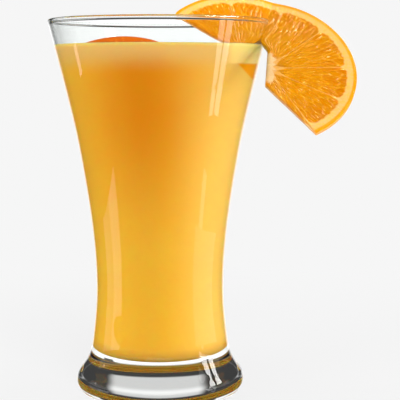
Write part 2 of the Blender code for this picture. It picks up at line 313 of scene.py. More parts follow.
def new_piece(name, points, faces, materials, smooth_angle=None):
    """Puts arrays of points and faces into a mesh with smooth faces and its materials."""
    mesh = bpy.data.meshes.new(name)
    mesh.from_pydata(np.asarray(points).tolist(), [], faces)
    mesh.validate()
    mesh.shade_smooth()
    if smooth_angle:
        mesh.set_sharp_from_angle(angle=smooth_angle)
    for made in materials:
        mesh.materials.append(made)
    return into_scene(name, mesh)


def turned_surface(profile, steps):
    """A profile turned about Z: each point but the two ends on the axis goes round a circle of its radius."""
    around = np.linspace(0.0, 2 * pi, steps, endpoint=False)
    radius, height = profile[1:-1, :1], profile[1:-1, 1:]
    ring = np.stack(
        [radius * np.cos(around), radius * np.sin(around), np.broadcast_to(height, (len(radius), steps))],
        axis=-1,
    ).reshape(-1, 3)
    poles = np.array([(0.0, 0.0, profile[0, 1]), (0.0, 0.0, profile[-1, 1])])
    rows = len(radius)
    quads = grid_faces(rows, steps, wrap=True)
    first, last = rows * steps, rows * steps + 1
    here = np.arange(steps)
    there = (here + 1) % steps
    start = np.column_stack([np.full(steps, first), there, here])
    base = (rows - 1) * steps
    end = np.column_stack([np.full(steps, last), base + here, base + there])
    return np.vstack([ring, poles]), quads.tolist() + start.tolist() + end.tolist()


def grid_faces(rows, columns, wrap=False):
    """Four-cornered faces between the neighbours of a grid of points, stored row by row."""
    across = np.arange(columns if wrap else columns - 1)
    down = np.arange(rows - 1)[:, None]
    here = down * columns + across
    right = down * columns + (across + 1) % columns
    return np.stack([here, right, right + columns, here + columns], axis=-1).reshape(-1, 4)


def face_outward(piece, merge=0.0):
    """Merges doubled points and turns every face of a closed piece outward."""
    made = bmesh.new()
    made.from_mesh(piece.data)
    if merge:
        bmesh.ops.remove_doubles(made, verts=made.verts, dist=merge)
    bmesh.ops.recalc_face_normals(made, faces=made.faces)
    made.to_mesh(piece.data)
    made.free()


def keep_numbers(mesh, name, values):
    """Keeps four numbers for each point, as a colour attribute."""
    attribute = mesh.attributes.new(name, "FLOAT_COLOR", "POINT")
    attribute.data.foreach_set("color", np.asarray(values, np.float32).ravel())


def keep_place(mesh, name, values):
    """Keeps three numbers for each point."""
    attribute = mesh.attributes.new(name, "FLOAT_VECTOR", "POINT")
    attribute.data.foreach_set("vector", np.asarray(values, np.float32).ravel())


def seat_piece(piece, node):
    """Puts a finished piece on the body, in the place of a node of the CAD."""
    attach(piece, BODY)
    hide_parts(node)


# Materials


def new_material(name):
    """A material with one Principled shader, and the tree and shader to work on."""
    made = bpy.data.materials.new(name)
    made.use_nodes = True
    return made, made.node_tree, made.node_tree.nodes["Principled BSDF"]


def add(tree, kind, inputs=None, **settings):
    """Adds a node, makes its settings, and fills its inputs by a value or by another node's output."""
    made = tree.nodes.new(kind)
    for name, value in settings.items():
        setattr(made, name, value)
    for name, value in (inputs or {}).items():
        if isinstance(value, bpy.types.NodeSocket):
            tree.links.new(value, made.inputs[name])
        else:
            made.inputs[name].default_value = value
    return made


def fix(shader, values):
    """Sets constant values on a shader's own sockets."""
    for name, value in values.items():
        shader.inputs[name].default_value = value


def show_either(tree, chance, first, second, out="Material Output"):
    """Shows the first of two shaders, and the second as far as chance says."""
    both = add(tree, "ShaderNodeMixShader", {0: chance})
    tree.links.new(first.outputs[0], both.inputs[1])
    tree.links.new(second.outputs[0], both.inputs[2])
    tree.links.new(both.outputs[0], tree.nodes[out].inputs["Surface"])


def math(tree, operation, *values):
    """One step of arithmetic on numbers or outputs."""
    made = add(tree, "ShaderNodeMath", dict(enumerate(values)), operation=operation)
    return made.outputs[0]


def ramp_between(tree, value, low, high, start=0.0, end=1.0):
    """A smooth step from start to end as value goes from low to high."""
    made = add(
        tree,
        "ShaderNodeMapRange",
        {"Value": value, "From Min": low, "From Max": high, "To Min": start, "To Max": end},
        interpolation_type="SMOOTHSTEP",
    )
    return made.outputs["Result"]


def mix(tree, factor, first, second):
    """A blend of two colours, each a value or an output."""
    made = add(tree, "ShaderNodeMix", {"Factor": factor}, data_type="RGBA")
    for socket, value in ((made.inputs[6], first), (made.inputs[7], second)):
        if isinstance(value, bpy.types.NodeSocket):
            tree.links.new(value, socket)
        else:
            socket.default_value = (*value, 1.0)
    return made.outputs[2]


def noise(tree, scale, detail=2.0, vector=None):
    """Noise on the piece's own coordinates, or on a vector."""
    made = add(tree, "ShaderNodeTexNoise", {"Scale": scale, "Detail": detail})
    source = vector or add(tree, "ShaderNodeTexCoord").outputs["Object"]
    tree.links.new(source, made.inputs["Vector"])
    return made.outputs["Fac"]


def roughen(tree, shader, strength, distance, height):
    """Gives a shader fine bumps."""
    grain = add(tree, "ShaderNodeBump", {"Strength": strength, "Distance": distance, "Height": height})
    tree.links.new(grain.outputs[0], shader.inputs["Normal"])


def place_of(tree):
    """The X, Y and Z of a point of the piece."""
    where = add(tree, "ShaderNodeTexCoord").outputs["Object"]
    return add(tree, "ShaderNodeSeparateXYZ", {"Vector": where}).outputs


def glass_material(settings):
    """Clear glass that lets the lamps' light through to what it holds."""
    made, tree, shader = new_material("clear_tumbler_glass")
    tint = (*settings.tint, 1.0)
    fix(shader, {"Base Color": tint, "Roughness": 0.0, "IOR": settings.ior, "Transmission Weight": 1.0})
    for_lamps = add(tree, "ShaderNodeLightPath").outputs["Is Shadow Ray"]
    show_either(tree, for_lamps, shader, add(tree, "ShaderNodeBsdfTransparent"))
    return made


def juice_colour(tree, juice):
    """Painted light: deep orange high in the middle of the glass, where light passes through the most juice,
    yellower toward its sides and foot, lighter on the side toward the light, and tan at its surface, where
    light comes in from above.

    Where the slice dips in, near the wall, a painted reflection of the slice lies on the juice: pale yellow
    above and bright orange below.
    """
    x, y, z = place_of(tree)[:3]
    # Painted light: deep orange where light passes through the most juice, high in the middle, fading toward
    # the sides; the cloud is tone that differs at random.
    depth = math(tree, "SUBTRACT", juice.level, z)
    high = ramp_between(tree, depth, 0.082, 0.020)
    off_middle = math(tree, "ABSOLUTE", math(tree, "ADD", x, 0.005))
    inward = ramp_between(tree, off_middle, 0.0, 0.032, 1.0, 0.12)
    deep = math(tree, "MULTIPLY", high, inward)
    cloud = math(tree, "SUBTRACT", noise(tree, 45.0, 3.0), 0.5)
    deep = math(tree, "ADD", deep, math(tree, "MULTIPLY", cloud, 0.2))
    base = mix(tree, deep, juice.body, juice.deep)
    # Painted light: lighter on the side toward the light, +X.
    out = math(tree, "SQRT", math(tree, "ADD", math(tree, "MULTIPLY", x, x), math(tree, "MULTIPLY", y, y)))
    toward_light = math(tree, "DIVIDE", x, math(tree, "MAXIMUM", out, 0.001))
    base = mix(tree, ramp_between(tree, toward_light, 0.05, 0.9, 0.0, 0.45), base, juice.bright)
    # Painted light: yellower beside the juice's floor.
    base = mix(tree, ramp_between(tree, z, 0.026, 0.019, 0.0, 0.7), base, juice.foot)
    # Painted light: tan just under the surface, where light comes in from above.
    near_top = ramp_between(tree, math(tree, "ADD", depth, math(tree, "MULTIPLY", cloud, 0.003)), 0.011, 0.001)
    base = mix(tree, near_top, base, juice.pale)
    # Painted reflection of the slice: its pale pith just under the surface beside it, and its orange flesh in a
    # wedge below.
    front = ramp_between(tree, y, -0.004, -0.010)
    beside = math(tree, "MULTIPLY", front, ramp_between(tree, x, 0.0235, 0.0285))
    yellow = math(tree, "MULTIPLY", beside, ramp_between(tree, depth, 0.0072, 0.0062))
    base = mix(tree, yellow, base, juice.pith_reflection)
    slant = math(tree, "SUBTRACT", depth, math(tree, "MULTIPLY", x, 1.06))
    corner = ramp_between(tree, slant, -0.0235, -0.0250)
    under = math(tree, "MULTIPLY", ramp_between(tree, depth, 0.0062, 0.0072), corner)
    return mix(tree, math(tree, "MULTIPLY", under, front), base, juice.flesh_reflection)


def juice_material(juice, name, shine):
    """Cloudy juice: light goes some way in and comes out again, red furthest."""
    made, tree, shader = new_material(name)
    tree.links.new(juice_colour(tree, juice), shader.inputs["Base Color"])
    fix(shader, {"Subsurface Weight": 1.0, "Subsurface Radius": (1.0, 0.60, 0.20)})
    fix(shader, {"Subsurface Scale": juice.scatter, "IOR": 1.34})
    fix(shader, {"Specular IOR Level": 0.5 * shine, "Roughness": 0.08 if shine else 0.6})
    if shine:
        roughen(tree, shader, 0.25, 0.0006, noise(tree, 320.0, 3.0))
    return made


def fruit_material(settings):
    """Flesh, skins, pith, core and rind, told apart by the numbers that the mesh keeps.

    The flesh is streaked along the reach: noise whose place is the point's reach and angle, drawn out
    along the reach.
    """
    made, tree, shader = new_material("cut_orange")
    zones = add(tree, "ShaderNodeAttribute", attribute_name="zones")
    cells = add(tree, "ShaderNodeAttribute", attribute_name="cells")
    pale, rind, core = add(tree, "ShaderNodeSeparateColor", {"Color": zones.outputs["Color"]}).outputs[:3]
    skin, tint, outward = add(tree, "ShaderNodeSeparateColor", {"Color": cells.outputs["Color"]}).outputs[:3]
    peel = zones.outputs["Alpha"]
    fine = noise(tree, 900.0, 3.0)
    broad = noise(tree, 210.0, 2.0)
    polar = add(tree, "ShaderNodeAttribute", attribute_name="polar").outputs["Vector"]
    streak = noise(tree, 1.0, 3.0, polar)
    patch = ramp_between(tree, broad, 0.30, 0.70)
    deepness = math(tree, "MULTIPLY", outward, ramp_between(tree, tint, 0.1, 0.9, 0.4, 1.0))
    flesh = mix(tree, deepness, settings.flesh, settings.flesh_deep)
    flesh = mix(tree, math(tree, "MULTIPLY", patch, 0.30), flesh, settings.flesh_deep)
    light_streak = ramp_between(tree, streak, 0.56, 0.70, 0.0, 0.65)
    skin_amount = math(tree, "MULTIPLY", skin, ramp_between(tree, broad, 0.40, 0.65, 0.10, 0.55))
    flesh = mix(tree, math(tree, "MAXIMUM", light_streak, skin_amount), flesh, settings.flesh_pale)
    # Painted highlight: glints where the brightest streaks meet fine noise.
    painted_glint = math(tree, "MULTIPLY", ramp_between(tree, streak, 0.62, 0.70), ramp_between(tree, fine, 0.52, 0.60))
    flesh = mix(tree, math(tree, "MULTIPLY", painted_glint, 0.85), flesh, settings.painted_glint)
    mottle = ramp_between(tree, fine, 0.35, 0.7, 0.0, 0.6)
    pith = mix(tree, mottle, settings.pith_colour, settings.flesh_pale)
    colour_now = mix(tree, pale, flesh, pith)
    colour_now = mix(tree, core, colour_now, settings.core_colour)
    colour_now = mix(tree, rind, colour_now, settings.rind_colour)
    peel_now = mix(tree, ramp_between(tree, fine, 0.4, 0.7), settings.peel_colour, settings.rind_colour)
    colour_now = mix(tree, peel, colour_now, peel_now)
    # Painted light: the inner wing, inside the glass, is painted a quarter lighter, in place of the light that
    # the glass keeps from it.
    lift = math(tree, "ADD", 1.0, math(tree, "MULTIPLY", cells.outputs["Alpha"], 0.25))
    inner_wing_painted_lighter = add(tree, "ShaderNodeVectorMath", {0: colour_now, "Scale": lift}, operation="SCALE")
    tree.links.new(inner_wing_painted_lighter.outputs["Vector"], shader.inputs["Base Color"])
    wet = ramp_between(tree, broad, 0.40, 0.62, 0.42, 0.16)
    tree.links.new(math(tree, "MAXIMUM", wet, math(tree, "MULTIPLY", pale, 0.45)), shader.inputs["Roughness"])
    fix(shader, {"Subsurface Weight": 0.30, "Subsurface Radius": (1.0, 0.40, 0.12), "Subsurface Scale": 0.0018})
    fix(shader, {"IOR": 1.38, "Specular IOR Level": 0.25})
    fix(shader, {"Coat Weight": 0.15, "Coat Roughness": 0.12, "Coat IOR": 1.34})
    lumps = math(tree, "ADD", broad, math(tree, "MULTIPLY", fine, 0.35))
    lumps = math(tree, "ADD", lumps, math(tree, "MULTIPLY", streak, 0.8))
    roughen(tree, shader, 0.6, 0.0005, lumps)
    return made


def crest_material(crest):
    """Wet fruit with lighter specks, which are painted highlights on its peel."""
    made, tree, shader = new_material("wet_crest")
    # Painted highlight: lighter specks by fine noise.
    specks = ramp_between(tree, noise(tree, 800.0, 2.0), 0.60, 0.72)
    tree.links.new(mix(tree, specks, crest.colour, crest.highlight_speck), shader.inputs["Base Color"])
    fix(shader, {"Roughness": 0.3, "Specular IOR Level": 0.2})
    fix(shader, {"Subsurface Weight": 0.1, "Subsurface Radius": (1.0, 0.40, 0.12), "Subsurface Scale": 0.002})
    roughen(tree, shader, 0.5, 0.0004, noise(tree, 700.0, 2.0))
    return made


# Glass


def glass_profile(glass):
    """Half profile of the glass: inside, bead, outside, foot with an elliptical heel, and flat underside."""
    lip = glass.wall_at_rim / 2
    lip_height = glass.height - lip
    inside = cavity_profile(glass, 0.0, lip_height, 120)
    near = np.linspace(lip_height - 0.0016, lip_height, 12)
    near_inside = np.column_stack([inner_radius(glass, near) + glass.neck_inner * neck(glass, near), near])
    inside = np.vstack([inside[inside[:, 1] < near[0] - 1e-5], near_inside])
    outer = float(outer_radius(glass, lip_height))
    middle = (inside[-1, 0] + outer) / 2
    bead = quarter((middle, lip_height), outer - middle, pi, 0.0, 26)[1:]
    bead[:, 1] = lip_height + (bead[:, 1] - lip_height) * lip / (outer - middle)
    down = np.concatenate([near[::-1][1:], np.linspace(near[0], glass.ankle_height, 130)[1:]])
    outside = np.column_stack([outer_radius(glass, down) - glass.neck_outer * neck(glass, down), down])
    flare = glass.foot_flare
    foot = bezier(
        [
            (glass.ankle_radius, glass.ankle_height),
            (glass.ankle_radius - glass.ankle_flare * flare, glass.ankle_height - flare),
            (glass.foot_radius, glass.foot_widest + glass.foot_swell),
            (glass.foot_radius, glass.foot_widest),
        ],
        44,
    )[1:]
    turn_of = np.linspace(0.0, pi / 2, 28)[1:]
    heel_out = glass.foot_radius - glass.heel_reach * (1 - np.cos(turn_of))
    heel = np.column_stack([heel_out, glass.foot_widest * (1 - np.sin(turn_of))])
    under = np.linspace(heel[-1, 0], 0.0, 12)[1:]
    return np.vstack([inside, bead, outside, foot, heel, np.column_stack([under, np.zeros(len(under))])])


class JUICE_OT_glass(bpy.types.Operator):
    """Builds the glass: a half profile turned about its axis"""

    bl_idname = "juice.glass"
    bl_label = "Build Glass"

    def execute(self, context):
        glass = context.scene.juice_glass
        points, faces = turned_surface(glass_profile(glass), 288)
        piece = new_piece("tumbler", points, faces, [glass_material(glass)])
        face_outward(piece)
        seat_piece(piece, "glass")
        return {"FINISHED"}


# Juice


def juice_profile(glass, juice):
    """Half profile of the juice: down its surface, which climbs the wall, then down its side to its floor."""
    edge_height = juice.level + juice.meniscus_rise
    side = cavity_profile(glass, juice.into_wall, edge_height, 90)[::-1]
    edge = side[0, 0]
    out = np.concatenate([np.linspace(0.0, edge - 0.006, 24), np.linspace(edge - 0.006, edge, 26)[1:-1]])
    climb = np.exp((out - edge) / (juice.meniscus_reach * 0.35))
    top = np.column_stack([out, juice.level + juice.meniscus_rise * climb])
    return np.vstack([top, side]), len(top)


class JUICE_OT_juice(bpy.types.Operator):
    """Builds the juice: a half profile turned about the glass's axis, just into its wall"""

    bl_idname = "juice.juice"
    bl_label = "Build Juice"

    def execute(self, context):
        glass, juice = context.scene.juice_glass, context.scene.juice_drink
        profile, top_rows = juice_profile(glass, juice)
        steps = 240
        points, faces = turned_surface(profile, steps)
        looks = [juice_material(juice, "juice_behind_glass", 0.0), juice_material(juice, "juice_surface", 1.0)]
        piece = new_piece("juice_body", points, faces, looks)
        centre = np.empty(len(piece.data.polygons) * 3)
        piece.data.polygons.foreach_get("center", centre)
        centre = centre.reshape(-1, 3)
        edge = profile[top_rows, 0]
        on_top = (centre[:, 2] > juice.level - 1e-4) & (np.hypot(centre[:, 0], centre[:, 1]) < edge - 1e-4)
        piece.data.polygons.foreach_set("material_index", on_top.astype(np.int32))
        face_outward(piece)
        seat_piece(piece, "juice")
        return {"FINISHED"}


# Slice


def rind_reach(s, angle):
    """Distance from the core to the outside of the rind: a circle, a little flattened."""
    return s.radius * (1 - s.oval * np.cos(2 * (angle - s.oval_flat_at)))


def cut_angle_at_tip(s):
    """The angle at which the lower cut meets the rind, by repeated substitution."""
    angle = radians(-54.0)
    for _ in range(20):
        angle = s.cut_direction - pi / 2 + acos(s.cut_below_core / float(rind_reach(s, angle)))
    return angle


def slit_axes(glass, s):
    """The slit's end above the rim, and the slice's own axes: out of the wall, up the slit, off the face."""
    out = np.array((cos(s.seat_angle), sin(s.seat_angle), 0.0))
    along = np.array((-sin(s.seat_angle), cos(s.seat_angle), 0.0))
    up = np.array((0.0, 0.0, 1.0))
    slope = sqrt(1 + glass.rim_flare**2)
    u = (out - glass.rim_flare * up) / slope
    v = cos(s.lean) * (glass.rim_flare * out + up) / slope + sin(s.lean) * along
    seat = out * (glass.rim_radius - glass.wall_at_rim / 2) + up * glass.height + s.seat_rise * v
    return seat, u, v, np.cross(u, v)


def spread(s, flat, side):
    """Turns each wing about the slit's end and bends the bridge above it.

    A point's bearing from the slit's end grows by the wing spread times 1 - 2t^2(3 - 2t), where t goes
    from 0 to 1 over the bridge.
    """
    x, y = flat[..., 0], flat[..., 1] - s.slit_length
    reach = np.hypot(x, y)
    bearing = np.where(reach > 1e-9, np.arctan2(x, -y) % (2 * pi), pi)
    bearing = np.where((side < 0) & (bearing < pi / 2), bearing + 2 * pi, bearing)
    t = np.clip((bearing - radians(95)) / radians(170), 0.0, 1.0)
    bearing = bearing + s.wing_spread * (1 - 2 * t * t * (3 - 2 * t))
    return reach * np.sin(bearing), -reach * np.cos(bearing)


def wall_faces(glass, height):
    """Radii of the wall's outer and inner face. They close in an arc over the rim and are one above it."""
    lip = glass.wall_at_rim / 2
    outer = outer_radius(glass, height)
    inner = inner_radius(glass, height) + glass.neck_inner * neck(glass, height)
    over = np.clip((height - glass.height + lip) / lip, 0.0, 1.0)
    half = (outer - inner) / 2 * np.sqrt(1 - over**2)
    return (outer + inner) / 2 + half, (outer + inner) / 2 - half


def short_of_wall(glass, s, place, side):
    """How far points are from lying on the wall. It is below 0 where there is room."""
    radius = np.hypot(place[..., 0], place[..., 1])
    outer, inner = wall_faces(glass, place[..., 2])
    grip = np.minimum((outer - inner) / 2, np.where(side > 0, s.outer_reach, s.inner_reach))
    return np.where(side > 0, outer - radius, radius - inner) - grip


def place_slice(glass, s, flat, off, side):
    """Puts points of the flat slice in their place.

    Beside the upper slit a wing is drawn to the wall by the room that its edge would leave, less with the
    distance from the slit. What would meet the wall moves out until it stands clear.
    """
    seat, u, v, n = slit_axes(glass, s)
    off = np.asarray(off)[..., None] * (n - s.slant * v)
    x, y = spread(s, flat, side)
    place = seat + x[..., None] * u + y[..., None] * v + off
    edge_x, edge_y = spread(s, np.stack([np.zeros_like(x), flat[..., 1]], axis=-1), side)
    edge = seat + edge_x[..., None] * u + edge_y[..., None] * v + off
    room = np.maximum(0.0, -short_of_wall(glass, s, edge, side))
    depth = s.slit_length - flat[..., 1]
    deep = np.where(side > 0, s.hug_outer, s.hug_inner)
    hug = (1 - smooth(0.0, s.hug_width, np.abs(flat[..., 0]))) * (1 - smooth(deep, deep + s.hug_fade, depth))
    place = place - (np.where(y < 0, hug * room, 0.0) * side)[..., None] * u
    for _ in range(4):
        push = np.where(y < 0, np.maximum(short_of_wall(glass, s, place, side), 0.0), 0.0) * side
        place = place + push[..., None] * u
    return place


def membrane_angles():
    """Directions of the skins between the orange's segments."""
    return np.radians([-91.0, -54.1, -21.7, 8.7, 46.3, 82.0, 122.0, 162.0])


def cells_of(reach, angle, seed):
    """A cellular pattern stretched along the reach, and the number of each point's cell.

    Seeds stand on a staggered grid of reach by angle, each moved at random. The pattern is the distance to
    the second nearest seed less that to the nearest, which is 0 on the borders between cells.
    """
    draw = np.random.default_rng(seed)
    long, wide = 0.0062, radians(4.6)
    rows = np.arange(0.0, 0.040, long)
    columns = np.arange(radians(-100), radians(175), wide)
    grid_reach, grid_angle = np.meshgrid(rows, columns, indexing="ij")
    grid_angle = grid_angle + wide * 0.5 * (np.arange(len(rows)) % 2)[:, None]
    seeds = np.column_stack([grid_reach.ravel() / long, grid_angle.ravel() / wide])
    seeds += draw.uniform(-0.42, 0.42, seeds.shape)
    tints = draw.uniform(0.0, 1.0, len(seeds))
    points = np.column_stack([reach.ravel() / long, angle.ravel() / wide])
    border = np.empty(len(points))
    tint = np.empty(len(points))
    for start in range(0, len(points), 4000):
        part = slice(start, start + 4000)
        gap = np.linalg.norm(points[part, None] - seeds[None], axis=2)
        nearest = np.argpartition(gap, 1, axis=1)[:, :2]
        two = np.sort(np.take_along_axis(gap, nearest, axis=1), axis=1)
        border[part] = two[:, 1] - two[:, 0]
        tint[part] = tints[np.argmin(gap, axis=1)]
    return border.reshape(reach.shape), tint.reshape(reach.shape)


def slice_zones(s, flat):
    """Shares of pale skin, rind, core and skin between cells at points of the flat slice, and their relief.

    A segment ends in rounded corners below the pith. Its skins are thin lines along the membranes, which
    widen to wedges at the core.
    """
    reach = np.hypot(flat[..., 0], flat[..., 1])
    angle = np.arctan2(flat[..., 1], flat[..., 0])
    angle = np.where(angle < radians(-100), angle + 2 * pi, angle)
    edge = rind_reach(s, angle)
    off_membrane = np.abs(angle[..., None] - membrane_angles()).min(axis=-1) * reach
    corner = 0.0030
    beside = np.minimum(off_membrane, corner)
    limit = edge - s.rind - s.pith - corner + np.sqrt(corner**2 - (corner - beside) ** 2)
    ripple = 0.00014 * np.sin(angle * 61) + 0.00010 * np.sin(angle * 113 + 1)
    pith = smooth(-0.00035, 0.00035, reach - limit + ripple)
    wedge = 0.00013 + 0.0011 * (1 - smooth(0.002, 0.0085, reach))
    membrane = (1 - smooth(0.6, 1.6, off_membrane / wedge)) * smooth(0.0, 0.001, reach)
    beside_slit = np.maximum(np.abs(flat[..., 0]) - 0.0004, 0.0)
    past_core = np.maximum(np.abs(flat[..., 1] - 0.0004) - 0.0042, 0.0)
    ragged = 0.0005 * np.sin(angle * 9 + reach * 1500)
    core = 1 - smooth(0.0021, 0.0030, np.hypot(beside_slit, past_core) + ragged)
    rind = smooth(-0.00022, 0.00022, reach - edge + s.rind)
    border, tint = cells_of(reach, angle, 7)
    flesh = (1 - pith) * (1 - core) * (1 - 0.8 * membrane)
    swell = smooth(0.02, 0.38, border)
    skin = (1 - smooth(0.02, 0.16, border)) * flesh
    relief = -0.00035 * (1 - pith) * (1 - core) * (1 - membrane) + 0.00026 * swell * flesh
    round_edge = smooth(edge - 0.0006, edge, reach)
    relief = relief - 0.00022 * round_edge**2
    outward = smooth(0.010, 0.0285, reach) * (1 - pith)
    pale = np.maximum(pith, membrane * 0.6)
    return pale, rind, core, skin, tint, outward, relief


def cut_bevel(s, flat, side):
    """How far the face falls away toward its cut edges: most at the edge, as a quarter circle would."""
    outward = s.cut_direction - pi / 2
    to_lower = s.cut_below_core - flat[..., 0] * cos(outward) - flat[..., 1] * sin(outward)
    reach = float(rind_reach(s, s.far_cut))
    run = np.array([reach * cos(s.far_cut), reach * sin(s.far_cut) - s.far_cut_above])
    run = run / np.hypot(*run)
    to_far = -flat[..., 0] * run[1] + (flat[..., 1] - s.far_cut_above) * run[0]
    off = np.where(side > 0, to_lower, -to_far)
    slit_off = np.abs(flat[..., 0]) + s.bevel * smooth(0.0, 0.004, flat[..., 1] - s.slit_length + s.hug_outer)
    off = np.where(side > 0, np.minimum(off, slit_off), off)
    share_off = np.clip(1 - np.abs(off) / s.bevel, 0.0, 1.0)
    return s.bevel * (1 - np.sqrt(1 - share_off**2))


def slice_columns(s):
    """Angles of the slice's columns and each one's side of the slit. The column at the slit is doubled."""
    tip = cut_angle_at_tip(s)
    below = -pi / 2 + (tip + pi / 2) * np.linspace(0.0, 1.0, 36)[:-1]
    near = np.linspace(tip, pi / 2, 192)
    far = np.linspace(pi / 2, s.far_cut, 96)
    angles = np.concatenate([below, near, far])
    sides = np.concatenate([np.ones(len(below) + len(near)), -np.ones(len(far))])
    return angles, sides, len(below) + len(near) - 1


def slice_faces(s):
    """Flat points of the slice on a grid of rows from each wing's centre to its edge, by columns of angle."""
    angles, sides, slit = slice_columns(s)
    tip = cut_angle_at_tip(s)
    to_cut = s.cut_below_core / np.cos(np.minimum(angles, tip) - s.cut_direction + pi / 2)
    edge = np.where(angles < tip - 1e-9, to_cut, rind_reach(s, angles))
    start = np.where(sides > 0, 0.0, s.far_cut_above)
    at_slit = float(rind_reach(s, pi / 2))
    inner_rows, outer_rows = 72, 24
    slit_share = (s.slit_length - start) / (at_slit - start)
    inner = np.linspace(0.0, 1.0, inner_rows + 1)[:, None] * slit_share
    outer = slit_share + np.linspace(0.0, 1.0, outer_rows + 1)[1:, None] * (1 - slit_share)
    shares = np.vstack([inner, outer])
    reach = edge * shares
    flat = np.stack([reach * np.cos(angles), start * (1 - shares) + reach * np.sin(angles)], axis=-1)
    return flat, sides, slit, inner_rows


def slice_edge(flat, slit, slit_row):
    """Rows and columns of the slice's outline in order: cut, rind, far cut and the slit's two sides."""
    rows, columns = flat.shape[0] - 1, flat.shape[1] - 1
    path = [(row, 0) for row in range(rows)]
    path += [(rows, column) for column in range(columns + 1) if column != slit + 1]
    path += [(row, columns) for row in range(rows - 1, -1, -1)]
    path += [(row, slit + 1) for row in range(1, slit_row)]
    path += [(row, slit) for row in range(slit_row, 0, -1)]
    return np.array(path)


def slice_mesh(glass, s):
    """Points, faces and kept numbers of the slice: a cut face, a back face and the strip that joins them."""
    flat, sides, slit, slit_row = slice_faces(s)
    rows, columns = flat.shape[:2]
    side = np.broadcast_to(sides, (rows, columns))
    pale, rind, core, skin, tint, outward, relief = slice_zones(s, flat)
    half = s.thickness / 2
    bevel = cut_bevel(s, flat, side)
    front = place_slice(glass, s, flat, half + relief - bevel, side)
    back = place_slice(glass, s, flat, -half - relief, side)
    zones = np.stack([pale, rind, core, np.zeros_like(pale)], axis=-1)
    # The fourth number marks the inner wing, which the material paints lighter.
    cells = np.stack([skin, tint, outward, side < 0], axis=-1)
    quads = grid_faces(rows, columns)
    quads = quads[quads[:, 0] % columns != slit]
    path = slice_edge(flat, slit, slit_row)
    index = path[:, 0] * columns + path[:, 1]
    steps = 12
    down = np.linspace(0.0, 1.0, steps + 1)[1:-1, None]
    edge_flat = flat.reshape(-1, 2)[index]
    on_rind = (path[:, 0] == rows - 1) & (path[:, 1] >= 35)
    swell = 0.00018
    bulge = swell * (1 - np.abs(2 * down - 1) ** 3) * on_rind
    outward_of = edge_flat / np.maximum(np.hypot(*edge_flat.T), 1e-6)[:, None]
    strip_flat = edge_flat[None] + (bulge[..., None] - swell * on_rind[:, None]) * outward_of[None]
    edge_relief = relief.ravel()[index]
    top = half + edge_relief - bevel.ravel()[index]
    off = top[None] * (1 - down) - (half + edge_relief)[None] * down
    strip_side = np.broadcast_to(side.ravel()[index], off.shape)
    strip = place_slice(glass, s, strip_flat, off, strip_side)
    strip_zones = np.broadcast_to(zones.reshape(-1, 4)[index], (steps - 1, len(index), 4)).copy()
    strip_zones[..., 3] = on_rind
    # Painted light: the cut sides of the flesh lie in shade, and are painted with the pith's pale colour.
    strip_zones[..., 0] = np.maximum(strip_zones[..., 0], 0.8 * (down > 0.2) * (path[:, 0] < rows - 1))
    strip_cells = np.broadcast_to(cells.reshape(-1, 4)[index], (steps - 1, len(index), 4))
    count = rows * columns
    between = 2 * count + np.arange((steps - 1) * len(index)).reshape(steps - 1, -1)
    ring = np.vstack([index, between, count + index])
    here, there = ring, np.roll(ring, -1, axis=1)
    strip_quads = np.stack([there[:-1], here[:-1], here[1:], there[1:]], axis=-1).reshape(-1, 4)
    points = np.vstack([front.reshape(-1, 3), back.reshape(-1, 3), strip.reshape(-1, 3)])
    faces = np.vstack([quads, quads[:, ::-1] + count, strip_quads])
    kept_zones = np.vstack([zones.reshape(-1, 4)] * 2 + [strip_zones.reshape(-1, 4)])
    kept_cells = np.vstack([cells.reshape(-1, 4)] * 2 + [strip_cells.reshape(-1, 4)])
    streak_long, streak_wide = 0.0042, 0.030
    x, y = flat.reshape(-1, 2).T
    drawn_out = np.column_stack([np.hypot(x, y) / streak_long, np.arctan2(x, y) / streak_wide, np.zeros(count)])
    strip_places = np.broadcast_to(drawn_out[index], (steps - 1, len(index), 3)).copy()
    strip_places[..., 2] = 3 * down
    kept_places = np.vstack([drawn_out, drawn_out + 40.0, strip_places.reshape(-1, 3)])
    return points, faces, kept_zones, kept_cells, kept_places


def welded(points, faces, *kept):
    """Makes one point of points that share a place, and leaves out the corners that this closes."""
    _, first, index = np.unique(np.round(points, 7), axis=0, return_index=True, return_inverse=True)
    faces = index.reshape(-1)[faces]
    whole = [list(dict.fromkeys(face)) for face in faces.tolist()]
    return points[first], [face for face in whole if len(face) > 2], [values[first] for values in kept]


class JUICE_OT_slice(bpy.types.Operator):
    """Builds the slice on the rim: a fan of rows and columns for each wing, with its flesh in relief"""

    bl_idname = "juice.slice"
    bl_label = "Build Slice"

    def execute(self, context):
        glass, settings = context.scene.juice_glass, context.scene.juice_slice
        points, faces, *kept = slice_mesh(glass, settings)
        points, faces, (zones, cells, polar) = welded(points, faces, *kept)
        piece = new_piece("rim_slice", points, faces, [fruit_material(settings)], radians(50))
        keep_numbers(piece.data, "zones", zones)
        keep_numbers(piece.data, "cells", cells)
        keep_place(piece.data, "polar", polar)
        face_outward(piece)
        seat_piece(piece, "orange_slice")
        return {"FINISHED"}


# Crest of the second slice


